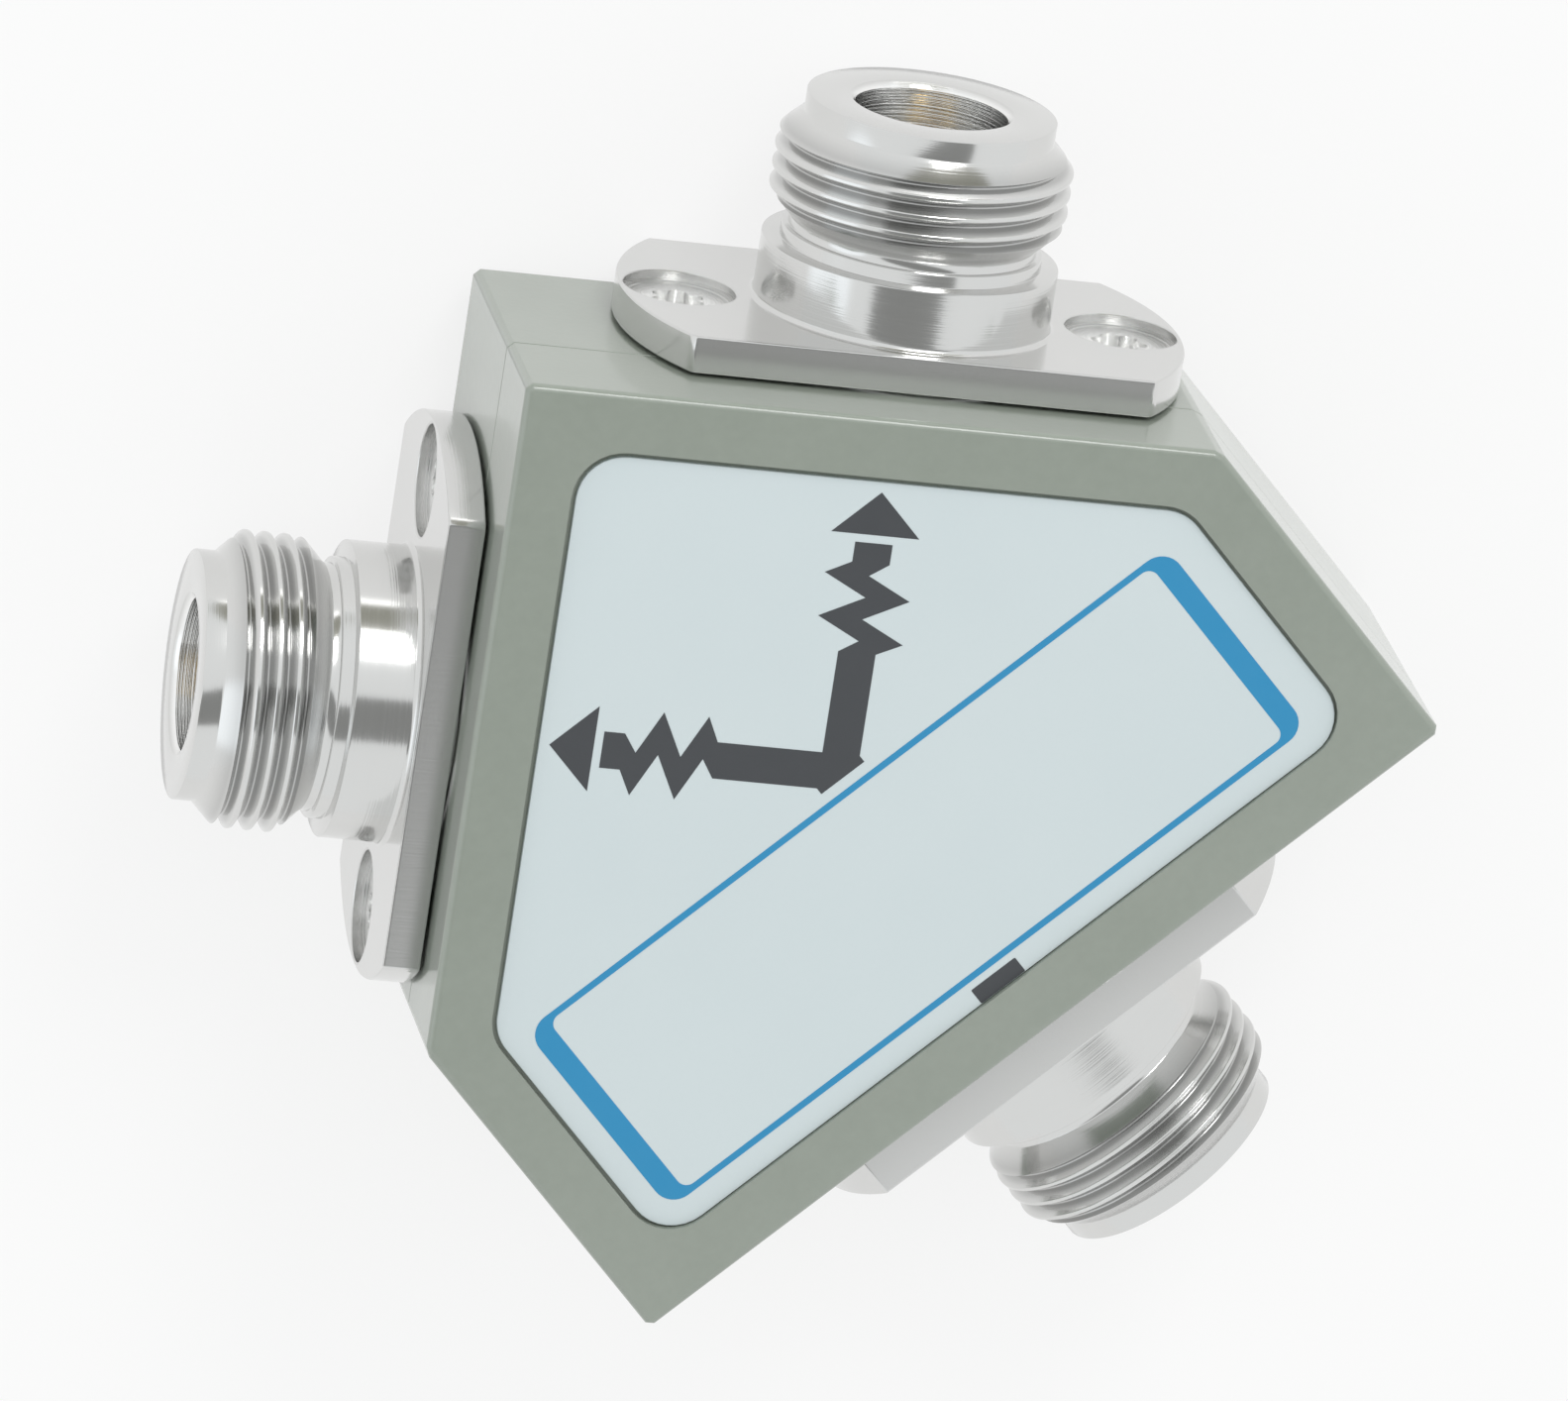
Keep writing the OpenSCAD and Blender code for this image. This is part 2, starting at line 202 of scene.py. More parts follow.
def solid_copy(node, name, angle):
    """A copy of a solid of the frame, with its triangles joined and its round faces shaded smooth."""
    piece = bpy.data.objects.new(name, frame["nodes"][node].data.copy())
    bpy.context.scene.collection.objects.link(piece)
    edit_all(piece)
    bpy.ops.mesh.customdata_custom_splitnormals_clear()
    bpy.ops.mesh.remove_doubles(threshold=WELD)
    bpy.ops.object.mode_set(mode="OBJECT")
    shade_smooth(piece, angle)
    return piece


def fit(piece, material, slot, *nodes):
    """Gives a piece its finish, and sets it on the frame in place of the solids named."""
    piece.data.materials.clear()
    piece.data.materials.append(material)
    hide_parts(*nodes)
    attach(piece, "root")


PAINTED_ANGLE = 50
paint = housing_paint()
fit(solid_copy("main_body", "painted_body", PAINTED_ANGLE), paint, "painted_housing", "main_body")


# Front cover
# The thick lid of the housing, milled from the same aluminium and painted with the body. It has a
# shallow recess for the label plate in its face and closes the channel along a fine seam.

fit(solid_copy("front_cover", "painted_cover", PAINTED_ANGLE), paint, "painted_housing", "front_cover")


# Label plate
# A thin pale plate with rounded corners, glued into the recess of the front cover, where it hides
# the cover's screws. Its face is a satin coat that takes the print.


def label_coat():
    """Pale blue-grey satin coat with a barely visible cloudiness and a fine tooth."""
    material, coat = new_material("label_coat")
    place = coat.node("TexCoord", output="Object")
    cloud = place.noise(9 * MM, 3)
    tooth = place.noise(0.2 * MM, 3)
    coat.principled({
        "Base Color": (cloud * 0.7 + tooth * 0.3).mix((0.605, 0.680, 0.695), (0.655, 0.725, 0.735)),
        "Roughness": 0.34 + tooth * 0.12,
        "Normal": tooth.bump(0.004 * MM, 0.3),
    })
    return material


LABEL_EDGE = 0.04 * MM
LABEL_EDGE_ANGLE = 40
FLAT_ANGLE = 0.1
ROUND_ANGLE = 30

label_low, label_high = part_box("label_plate")
label = solid_copy("label_plate", "label", ROUND_ANGLE)
edit_all(label)
bpy.ops.mesh.dissolve_limited(angle_limit=math.radians(FLAT_ANGLE))
bpy.ops.mesh.select_all(action="DESELECT")
bpy.ops.object.mode_set(mode="OBJECT")
for edge in label.data.edges:
    ends = [label.data.vertices[i].co.z for i in edge.vertices]
    edge.select = min(ends) > label_high.z - WELD
bpy.ops.object.mode_set(mode="EDIT")
bpy.ops.mesh.bevel(offset=LABEL_EDGE, segments=2, affect="EDGES")
bpy.ops.object.mode_set(mode="OBJECT")
shade_smooth(label, LABEL_EDGE_ANGLE)
fit(label, label_coat(), "label", "label_plate")


# Printed frame
# A blue rectangle screen-printed on the label: thin lines along its length and broad bars at its
# two ends, with rounded corners. The ink is a little over a hundredth of a millimetre thick.

INK = 0.015 * MM
FRAME_WIDTH = 42.2 * MM
FRAME_HEIGHT = 12.83 * MM
FRAME_ASIDE = -0.28 * MM
FRAME_ABOVE_EDGE = 1.4 * MM
FRAME_BAR = 1.25 * MM
FRAME_LINE = 0.36 * MM
FRAME_CORNER = 1.25 * MM
FRAME_INNER_CORNER = 0.6 * MM


def printing_ink(name, thin, full):
    """Screen ink: slightly uneven in depth, satin, and a little rough at its surface."""
    material, ink = new_material(name)
    place = ink.node("TexCoord", output="Object")
    depth = place.noise(1.5 * MM, 4)
    mesh_marks = place.noise(0.1 * MM)
    ink.principled({
        "Base Color": (depth * 0.7 + mesh_marks * 0.3).mix(thin, full),
        "Roughness": 0.4 + mesh_marks * 0.15,
        "Normal": mesh_marks.bump(0.002 * MM, 0.4),
    })
    return material


def flat_plate(width, height, centre):
    """A rectangle in the plane of the print, open for editing with all of it selected."""
    bpy.ops.object.select_all(action="DESELECT")
    bpy.ops.mesh.primitive_plane_add(size=1, location=centre)
    bpy.ops.object.transform_apply(location=True, rotation=False, scale=False)
    edit_all(bpy.context.object)
    bpy.ops.transform.resize(value=(width, height, 1), center_override=centre)
    return bpy.context.object


def join(pieces, name):
    """Makes one named piece of several, with the points that coincide merged."""
    work_on(pieces[0])
    for piece in pieces[1:]:
        piece.select_set(True)
    bpy.ops.object.join()
    pieces[0].name = name
    edit_all(pieces[0])
    bpy.ops.mesh.remove_doubles(threshold=WELD)
    bpy.ops.object.mode_set(mode="OBJECT")
    return pieces[0]


ink_z = label_high.z + INK / 2
frame_centre = Vector((FRAME_ASIDE, label_low.y + FRAME_ABOVE_EDGE + FRAME_HEIGHT / 2, ink_z))
frame_sides = []
for margin_x, margin_y, corner in ((0, 0, FRAME_CORNER), (FRAME_BAR, FRAME_LINE, FRAME_INNER_CORNER)):
    side = flat_plate(FRAME_WIDTH - 2 * margin_x, FRAME_HEIGHT - 2 * margin_y, frame_centre)
    bpy.ops.mesh.bevel(offset=corner, segments=8, affect="VERTICES")
    bpy.ops.mesh.select_all(action="SELECT")
    bpy.ops.mesh.delete(type="ONLY_FACE")
    bpy.ops.object.mode_set(mode="OBJECT")
    frame_sides.append(side)
blue_frame = join(frame_sides, "blue_frame_print")
edit_all(blue_frame)
bpy.ops.mesh.bridge_edge_loops()
bpy.ops.object.mode_set(mode="OBJECT")
apply_modifier(blue_frame, "SOLIDIFY", thickness=INK, offset=0)
fit(blue_frame, printing_ink("blue_ink", (0.018, 0.258, 0.505), (0.034, 0.276, 0.515)), "label")


# Printed circuit sign
# Dark grey screen print: two bars fork from a junction, each with a zigzag resistor and an arrow
# that points to its output port, and a short mark at the label's edge shows the input port.

JUNCTION_ABOVE_EDGE = 15.25 * MM
BAR_HALF = 1.0 * MM
BAR_END = 6.6 * MM
TOOTH_START = 7.25 * MM
TOOTH_STEP = 1.2 * MM
TOOTH_REACH = 2.35 * MM
TEETH = 4
STUB_START = 11.55 * MM
STUB_END = 12.65 * MM
ARROW_START = 13.1 * MM
ARROW_HALF = 2.35 * MM
FOOT_DEPTH = 0.41 * MM
MARK_WIDTH = 2.9 * MM
MARK_HEIGHT = 0.95 * MM
MARK_CORNER = 0.08 * MM


def select_points(piece, chosen):
    """Selects the points of the open piece for which chosen(point) holds."""
    bpy.ops.mesh.select_all(action="DESELECT")
    bpy.ops.object.mode_set(mode="OBJECT")
    for point in piece.data.vertices:
        point.select = chosen(point.co)
    bpy.ops.object.mode_set(mode="EDIT")


def printed_arm():
    """One branch along +X from the junction: bar, zigzag, stub and, past a gap, the arrowhead."""
    start = BAR_HALF
    arm = flat_plate(BAR_END - start, 2 * BAR_HALF, Vector(((start + BAR_END) / 2, 0, ink_z)))
    select_points(arm, lambda point: point.x > BAR_END - WELD)
    stations = [
        (TOOTH_START + i * TOOTH_STEP, (-1) ** (i + 1) * TOOTH_REACH / 2, TOOTH_REACH / 2)
        for i in range(TEETH)
    ]
    stations += [(STUB_START, 0, BAR_HALF), (STUB_END, 0, BAR_HALF)]
    along, across, half = BAR_END, 0, BAR_HALF
    for next_along, next_across, next_half in stations:
        step = (next_along - along, next_across - across, 0)
        bpy.ops.mesh.extrude_edges_move(TRANSFORM_OT_translate={"value": step})
        along, across = next_along, next_across
        middle = (along, across, ink_z)
        bpy.ops.transform.resize(value=(1, next_half / half, 1), center_override=middle)
        half = next_half
    bpy.ops.object.mode_set(mode="OBJECT")
    bpy.ops.mesh.primitive_circle_add(vertices=4, radius=ARROW_HALF, fill_type="NGON")
    head = bpy.context.object
    edit_all(head)
    bpy.ops.mesh.bisect(plane_co=(0, 0, 0), plane_no=(1, 0, 0), clear_inner=True)
    bpy.ops.mesh.select_all(action="SELECT")
    bpy.ops.transform.translate(value=(ARROW_START, 0, ink_z))
    bpy.ops.object.mode_set(mode="OBJECT")
    return join([arm, head], "arm")


def copy_to(piece, name, place):
    """A copy of a piece with its own mesh, moved by the matrix place."""
    copy = bpy.data.objects.new(name, piece.data.copy())
    bpy.context.scene.collection.objects.link(copy)
    copy.data.transform(place)
    return copy


junction = Vector((0, label_low.y + JUNCTION_ABOVE_EDGE, 0))
corner_reach = BAR_HALF * math.sqrt(2)
foot_middle = junction + Vector((0, -FOOT_DEPTH / 2, ink_z))
foot = flat_plate(2 * corner_reach, FOOT_DEPTH, foot_middle)
select_points(foot, lambda point: point.y > foot_middle.y)
bpy.ops.mesh.extrude_edges_move(TRANSFORM_OT_translate={"value": (0, corner_reach, 0)})
bpy.ops.mesh.merge(type="CENTER")
bpy.ops.object.mode_set(mode="OBJECT")
mark_middle = Vector((FRAME_ASIDE, label_low.y + LABEL_EDGE + MARK_HEIGHT / 2, ink_z))
mark = flat_plate(MARK_WIDTH, MARK_HEIGHT, mark_middle)
bpy.ops.mesh.bevel(offset=MARK_CORNER, segments=3, affect="VERTICES")
bpy.ops.object.mode_set(mode="OBJECT")
arm = printed_arm()
arms = [
    copy_to(arm, "arm", Matrix.Translation(junction) @ Matrix.Rotation(math.radians(turn), 4, "Z"))
    for turn in (45, 135)
]
bpy.data.objects.remove(arm)
dark_sign = join([foot, mark, *arms], "circuit_sign_print")
apply_modifier(dark_sign, "SOLIDIFY", thickness=INK, offset=0)
fit(dark_sign, printing_ink("dark_ink", (0.062, 0.066, 0.072), (0.052, 0.056, 0.062)), "label")


# Connector shells
# Three shells, each turned from one steel bar: pilot, seat, flange, base, collar, neck, a coupling
# thread that runs out over two chamfers, and a barrel round the mating bore. The flange, thicker on
# the input port, is then milled to two flats and drilled for two countersunk screws.

SEGMENTS = 160
SHARP_ANGLE = 25
BREAK = 0.06 * MM
PILOT_R, PILOT_L = 4.9 * MM, 3.3 * MM
SEAT_R, SEAT_H = 8.4 * MM, 0.2 * MM
FLANGE_R, FLANGE_HALF, FLANGE_TOP = 15.15 * MM, 8.85 * MM, 2.2 * MM
PORT_LIFT = {"input": 1.45 * MM, "left_output": 0.0, "right_output": 0.0}
BASE_R, BASE_FOOT, BASE_TOP = 7.9 * MM, 0.3 * MM, 5.55 * MM
COLLAR_R, COLLAR_TOP = 6.95 * MM, 6.25 * MM
NECK_R, NECK_TOP = 6.6 * MM, 6.75 * MM
THREAD_R, THREAD_BACK, THREAD_FRONT = 7.9 * MM, 8.05 * MM, 11.1 * MM
BARREL_R, BARREL_BACK, SHELL_FRONT = 6.65 * MM, 12.35 * MM, 13.5 * MM
BORE_R, BORE_CHAMFER, MATING_PLANE = 4.05 * MM, 0.3 * MM, 4.4 * MM
LINE_R, BEAD_R, BEAD_FRONT = 3.5 * MM, 4.0 * MM, 2.4 * MM
THREAD_PITCH, THREAD_TURNS = 25.4 / 24 * MM, 6
CREST_ROUND, ROOT_ROUND, CREST_FLAT, FLANK_SLOPE = 0.12 * MM, 0.1 * MM, 0.06 * MM, 60
CREST_PROUD, CUTTER_SIDE, CUTTER_TOP = 0.006 * MM, 0.06 * MM, 0.24 * MM
# Painted shade in the thread: its roots darken in colour over this depth, down to this share of the
# steel's tone
ROOT_SHADE_DEPTH, ROOT_PAINTED_SHADE = 0.48 * MM, 0.5
# Painted light: the bore takes a lighter colour than the outside steel, which lifts the shade inside it
BORE_PAINTED_LIGHT, BORE_MARKS = (0.92, 0.92, 0.91), 11
FEED_WIDTH, STROKE_WIDTH, STROKE_STRETCH = 0.08 * MM, 0.12 * MM, 0.04
SCREW_AT, HEAD_TOP = 11.9 * MM, 1.6 * MM
SCREW_R, HEAD_R, SCREW_FIT = 1.5 * MM, 2.75 * MM, 0.03 * MM
COUNTERBORE_R, HOLE_BREAK = 3.0 * MM, 0.05 * MM


def lathe_steel(name, colour, roughness, groove):
    """Bright steel with tool marks round the axis and in the drilled holes, and milled marks on flats,
    with painted shade in the thread's roots and a painted lighter tone in the bore.
    """
    material, steel = new_material(name)
    lathe = steel.node("Attribute", {"attribute_name": "lathe"}, output="Vector")
    x, y, z = lathe.axes()
    radius = (x * x + y * y) ** 0.5
    from_hole = abs(y) - SCREW_AT
    hole_radius = (x * x + from_hole * from_hole) ** 0.5
    drilled = hole_radius.rise(COUNTERBORE_R + 3 * HOLE_BREAK, COUNTERBORE_R + 2 * HOLE_BREAK)
    turned_about = radius * (1 - drilled) + hole_radius * drilled
    feed = lathe.node("CombineXYZ", inputs={0: turned_about, 1: z}).noise(FEED_WIDTH, 2, "2D")
    bored = radius.rise(BORE_R + BORE_CHAMFER, BORE_R)
    along_flat = lathe.node("CombineXYZ", inputs={0: y, 1: z * STROKE_STRETCH})
    strokes = along_flat.noise(STROKE_WIDTH, 2, "2D") * 0.5
    on_flat = abs(x).rise(FLANGE_HALF - BREAK / 2, FLANGE_HALF)
    stain = lathe.noise(5 * MM, 3)
    bright = (stain * 0.6 + feed * 0.4).mix([0.95 * c for c in colour], colour)
    on_thread = z.rise(NECK_TOP, THREAD_BACK) * z.rise(BARREL_BACK, THREAD_FRONT)
    # Painted shade: the colour darkens towards the thread's roots, where less light reaches
    painted_root_shade = radius.rise(THREAD_R - BREAK, THREAD_R - ROOT_SHADE_DEPTH) * on_thread
    outside = (painted_root_shade * 0.6).mix(bright, [ROOT_PAINTED_SHADE * c for c in colour])
    marks = feed * (1 - on_flat) * (1 + bored * BORE_MARKS) + strokes * on_flat
    steel.principled({
        # Painted light: the bore's lighter colour stands in for light that its shade holds back
        "Base Color": bored.mix(outside, BORE_PAINTED_LIGHT),
        "Metallic": 1.0,
        "Roughness": roughness + feed * 0.06 + on_flat * 0.08 + drilled * 0.12,
        "Normal": marks.bump(groove, 1.0),
    })
    return material


def turned(name, profile, hollow=False):
    """Turns a profile of (radius, height) points about Z, ring by ring from the first to the last."""
    bpy.ops.object.select_all(action="DESELECT")
    radius, height = profile[0]
    fill = "NOTHING" if hollow else "NGON"
    bpy.ops.mesh.primitive_circle_add(vertices=SEGMENTS, radius=radius, fill_type=fill)
    piece = bpy.context.object
    piece.name = name
    edit_all(piece)
    bpy.ops.transform.translate(value=(0, 0, height))
    for next_radius, next_height in profile[1:]:
        rise = (0, 0, next_height - height)
        bpy.ops.mesh.extrude_edges_move(TRANSFORM_OT_translate={"value": rise})
        grow = next_radius / radius
        bpy.ops.transform.resize(value=(grow, grow, 1), center_override=(0, 0, next_height))
        radius, height = next_radius, next_height
    if not hollow:
        bpy.ops.mesh.edge_face_add()
    bpy.ops.mesh.select_all(action="SELECT")
    bpy.ops.mesh.remove_doubles(threshold=WELD)
    bpy.ops.mesh.normals_make_consistent(inside=False)
    bpy.ops.object.mode_set(mode="OBJECT")
    return piece


def break_edges(piece, width):
    """Rounds every sharp edge of a piece a little, as deburring leaves it."""
    edit_all(piece)
    bpy.ops.mesh.select_mode(type="EDGE")
    bpy.ops.mesh.select_all(action="DESELECT")
    bpy.ops.mesh.edges_select_sharp(sharpness=math.radians(SHARP_ANGLE))
    bpy.ops.mesh.bevel(offset=width, segments=2, affect="EDGES")
    bpy.ops.mesh.select_mode(type="VERT")
    bpy.ops.object.mode_set(mode="OBJECT")


def combine(piece, operation, tool):
    """Joins a tool to a piece, or cuts it out of the piece, and takes the tool away."""
    apply_modifier(piece, "BOOLEAN", operation=operation, solver="EXACT", object=tool)
    bpy.data.objects.remove(tool)


def keep_lathe_places(piece, lift=0.0):
    """Stores each point's place on the lathe, which the tool marks follow wherever the piece goes."""
    places = piece.data.attributes.new("lathe", "FLOAT_VECTOR", "POINT")
    for place, point in zip(places.data, piece.data.vertices):
        place.vector = point.co - Vector((0, 0, lift))


def foot_fillet():
    """Points of the hollow fillet between the flange and the base."""
    steps = 5
    turns = [math.radians(270 - 90 * i / steps) for i in range(steps + 1)]
    return [
        (BASE_R + BASE_FOOT * (1 + math.cos(t)), FLANGE_TOP + BASE_FOOT * (1 + math.sin(t)))
        for t in turns
    ]


def turned_blank(lift):
    """The shell as it leaves the lathe, without its flange and thread."""
    back = (BEAD_R, -PILOT_L)
    inside_flange = (SEAT_H + FLANGE_TOP) / 2
    rear = [
        back, (PILOT_R, -PILOT_L), (PILOT_R, 0), (SEAT_R, 0), (SEAT_R, inside_flange),
        (BASE_R + BASE_FOOT, inside_flange),
    ]
    front = [
        *foot_fillet(), (BASE_R, BASE_TOP), (COLLAR_R, BASE_TOP), (COLLAR_R, COLLAR_TOP),
        (NECK_R, COLLAR_TOP), (NECK_R, NECK_TOP), (THREAD_R, THREAD_BACK), (THREAD_R, THREAD_FRONT),
        (BARREL_R, BARREL_BACK), (BARREL_R, SHELL_FRONT), (BORE_R + BORE_CHAMFER, SHELL_FRONT),
        (BORE_R, SHELL_FRONT - BORE_CHAMFER), (BORE_R, MATING_PLANE), (LINE_R, MATING_PLANE),
        (LINE_R, BEAD_FRONT), (BEAD_R, BEAD_FRONT),
    ]
    lifted = [(radius, height + lift) for radius, height in front]
    blank = turned("connector_shell", [*rear, *lifted, back], hollow=True)
    break_edges(blank, BREAK)
    return blank


def flange_disc(lift):
    """The round flange, milled to two flats that are parallel to the housing's face."""
    bpy.ops.object.select_all(action="DESELECT")
    middle = (0, 0, (SEAT_H + FLANGE_TOP + lift) / 2)
    thickness = FLANGE_TOP + lift - SEAT_H
    bpy.ops.mesh.primitive_cylinder_add(
        vertices=SEGMENTS, radius=FLANGE_R, depth=thickness, location=middle
    )
    bpy.ops.object.transform_apply(location=True, rotation=False, scale=False)
    disc = bpy.context.object
    for side in (-1, 1):
        edit_all(disc)
        bpy.ops.mesh.bisect(
            plane_co=(side * FLANGE_HALF, 0, 0), plane_no=(side, 0, 0), clear_outer=True, use_fill=True,
            threshold=WELD,
        )
        bpy.ops.object.mode_set(mode="OBJECT")
    break_edges(disc, 2 * BREAK)
    return disc


def screw_hole(side, lift):
    """The drill for one flange screw: a clear hole, a countersink and a counterbore."""
    cone_foot = HEAD_TOP - (HEAD_R - SCREW_R)
    drill = turned("drill", [
        (SCREW_R + SCREW_FIT, -lift), (SCREW_R + SCREW_FIT, cone_foot), (HEAD_R + SCREW_FIT, HEAD_TOP),
        (COUNTERBORE_R, HEAD_TOP), (COUNTERBORE_R, FLANGE_TOP - HOLE_BREAK),
        (COUNTERBORE_R + 2 * HOLE_BREAK, FLANGE_TOP + HOLE_BREAK),
        (COUNTERBORE_R + 2 * HOLE_BREAK, 2 * FLANGE_TOP),
    ])
    drill.data.transform(Matrix.Translation((0, side * SCREW_AT, lift)))
    return drill


def groove_outline():
    """Half the section of the thread's groove as (along, radius) points, from the root to the crest."""
    flank = math.radians(FLANK_SLOPE)
    turns = [flank * i / 3 for i in range(4)]
    crest_along = (THREAD_PITCH - CREST_FLAT) / 2
    crest_radius = THREAD_R + CREST_PROUD
    crest = [
        (crest_along - CREST_ROUND * math.sin(t), crest_radius - CREST_ROUND * (1 - math.cos(t)))
        for t in turns[:0:-1]
    ]
    along, radius = crest[0]
    root_along = ROOT_ROUND * math.sin(flank)
    root_radius = radius - (along - root_along) * math.tan(flank) - ROOT_ROUND * (1 - math.cos(flank))
    root = [(ROOT_ROUND * math.sin(t), root_radius + ROOT_ROUND * (1 - math.cos(t))) for t in turns]
    return [*root, *crest, (crest_along, THREAD_R + CUTTER_SIDE), (crest_along, THREAD_R + CUTTER_TOP)]


def drawn_face(points):
    """A flat face, drawn from point to point and left open for editing with all of it selected."""
    bpy.ops.object.select_all(action="DESELECT")
    bpy.ops.mesh.primitive_plane_add(size=MM)
    face = bpy.context.object
    edit_all(face)
    bpy.ops.mesh.merge(type="CENTER")
    bpy.ops.transform.translate(value=points[0])
    for point, next_point in zip(points, points[1:]):
        bpy.ops.mesh.extrude_vertices_move(TRANSFORM_OT_translate={"value": next_point - point})
    bpy.ops.mesh.select_all(action="SELECT")
    bpy.ops.mesh.edge_face_add()
    return face


def thread_groove(lift):
    """The rounded V groove of the coupling thread, cut from the neck out past the front chamfer."""
    half = groove_outline()
    start = NECK_TOP - THREAD_PITCH / 3 + lift
    outline = [Vector((radius, 0, start - along)) for along, radius in half[:0:-1]]
    outline += [Vector((radius, 0, start + along)) for along, radius in half]
    groove = drawn_face(outline)
    bpy.ops.mesh.delete(type="ONLY_FACE")
    bpy.ops.object.mode_set(mode="OBJECT")
    steps = SEGMENTS - 1
    apply_modifier(
        groove, "SCREW", axis="Z", screw_offset=THREAD_PITCH, iterations=THREAD_TURNS,
        steps=steps, render_steps=steps,
    )
    edit_all(groove)
    bpy.ops.mesh.fill_holes(sides=len(outline))
    bpy.ops.mesh.select_all(action="SELECT")
    bpy.ops.mesh.normals_make_consistent(inside=False)
    bpy.ops.object.mode_set(mode="OBJECT")
    return groove


mounts = {mount["name"]: mount for mount in frame["record"]["mounts"]}


def port_place(port):
    """From a shell's own frame, with Z out of the port and X down, to the port on the housing."""
    mount = mounts[port + "_thread"]
    out = Vector(mount["axis"])
    down = Vector((0, 0, -1))
    turn = Matrix((down, out.cross(down), out)).transposed().to_4x4()
    wall = Vector(mount["pos_m"]) - out * ((THREAD_BACK + THREAD_FRONT) / 2 + PORT_LIFT[port])
    return Matrix.Translation(wall) @ turn


def connector_shell(lift):
    """One finished shell, with its flange that much thicker."""
    shell = turned_blank(lift)
    combine(shell, "UNION", flange_disc(lift))
    for side in (-1, 1):
        combine(shell, "DIFFERENCE", screw_hole(side, lift))
    combine(shell, "DIFFERENCE", thread_groove(lift))
    shade_smooth(shell, SHARP_ANGLE)
    keep_lathe_places(shell, lift)
    return shell


shell_steel = lathe_steel("turned_steel", (0.70, 0.70, 0.69), 0.12, 0.0025 * MM)
shells = {lift: connector_shell(lift) for lift in set(PORT_LIFT.values())}
for port, lift in PORT_LIFT.items():
    node = port + "_connector_shell"
    fit(copy_to(shells[lift], "turned_" + node, port_place(port)), shell_steel, "turned_steel", node)
for shell in shells.values():
    bpy.data.objects.remove(shell)


# Flange screws
# Six countersunk steel screws, two to a flange, with six-lobe drive recesses. Their flat heads lie
# sunk in the counterbores, and each was driven home at a turn of its own.

SCREW_REACH = 4.5 * MM
SCREW_BREAK = 0.15 * MM
LOBES = 6
LOBE_R = 0.495 * MM
LOBE_STEPS = 40
HEAD_RING_R = 2.9 * LOBE_R
RECESS_DEPTH = 0.6 * MM
SCREW_TURNS = (12, 47, 31, 5, 22, 54)


def drive_punch():
    """The punch for the drive recess: six lobes whose arcs end on the circle through their centres."""
    centres_r = 2 * LOBE_R
    half_arc = math.acos(-LOBE_R / (2 * centres_r))
    outline = []
    for i in range(LOBES):
        out = math.radians(360 / LOBES * i)
        centre = Vector((math.cos(out), math.sin(out), 0)) * centres_r - Vector((0, 0, RECESS_DEPTH))
        turns = [out + half_arc * (2 * j / LOBE_STEPS - 1) for j in range(LOBE_STEPS + 1)]
        outline += [centre + Vector((math.cos(t), math.sin(t), 0)) * LOBE_R for t in turns]
    punch = drawn_face(outline)
    bpy.ops.mesh.extrude_region_move(TRANSFORM_OT_translate={"value": (0, 0, 2 * RECESS_DEPTH)})
    bpy.ops.mesh.select_all(action="SELECT")
    bpy.ops.mesh.normals_make_consistent(inside=False)
    bpy.ops.object.mode_set(mode="OBJECT")
    return punch


def countersunk_screw():
    """One screw along Z, with the flat top of its head at zero."""
    tip = -HEAD_TOP - SCREW_REACH
    screw = turned("screw", [
        (SCREW_R - SCREW_BREAK, tip), (SCREW_R, tip + SCREW_BREAK), (SCREW_R, SCREW_R - HEAD_R),
        (HEAD_R, 0), (HEAD_RING_R, 0),
    ])
    break_edges(screw, BREAK)
    combine(screw, "DIFFERENCE", drive_punch())
    shade_smooth(screw, SHARP_ANGLE)
    keep_lathe_places(screw)
    return screw


screw = countersunk_screw()
screws = []
for port, lift in PORT_LIFT.items():
    for side in (-1, 1):
        seat = Matrix.Translation((0, side * SCREW_AT, HEAD_TOP + lift))
        turn = Matrix.Rotation(math.radians(SCREW_TURNS[len(screws)]), 4, "Z")
        screws.append(copy_to(screw, "screw", port_place(port) @ seat @ turn))
bpy.data.objects.remove(screw)
screw_steel = lathe_steel("screw_steel", (0.74, 0.74, 0.73), 0.15, 0.004 * MM)
fit(join(screws, "countersunk_flange_screws"), screw_steel, "screw_steel", "flange_screws")


# Centre contacts
# Turned from a spring copper alloy, slotted into four fingers at the mouth and gold plated. Each
# runs through its support bead to the circuit inside the housing.


def gold_plate():
    """Thin gold over turned metal, a little deeper in colour where it is thicker."""
    material, gold = new_material("gold_plate")
    place = gold.node("TexCoord", output="Object")
    deep = place.noise(1.2 * MM, 3)
    fine = place.noise(0.05 * MM)
    gold.principled({
        "Base Color": deep.mix((0.83, 0.62, 0.28), (0.78, 0.54, 0.20)),
        "Metallic": 1.0,
        "Roughness": 0.2 + fine * 0.1,
        "Normal": fine.bump(0.001 * MM, 0.2),
    })
    return material


gold = gold_plate()
for port in PORT_LIFT:
    node = port + "_center_contact"
    fit(solid_copy(node, "plated_" + node, ROUND_ANGLE), gold, "gold_plating", node)


# Support beads
# Washers of a low-loss plastic that centre the contacts in the shells. They lie deep in the bores,
# where they close the view into the housing.


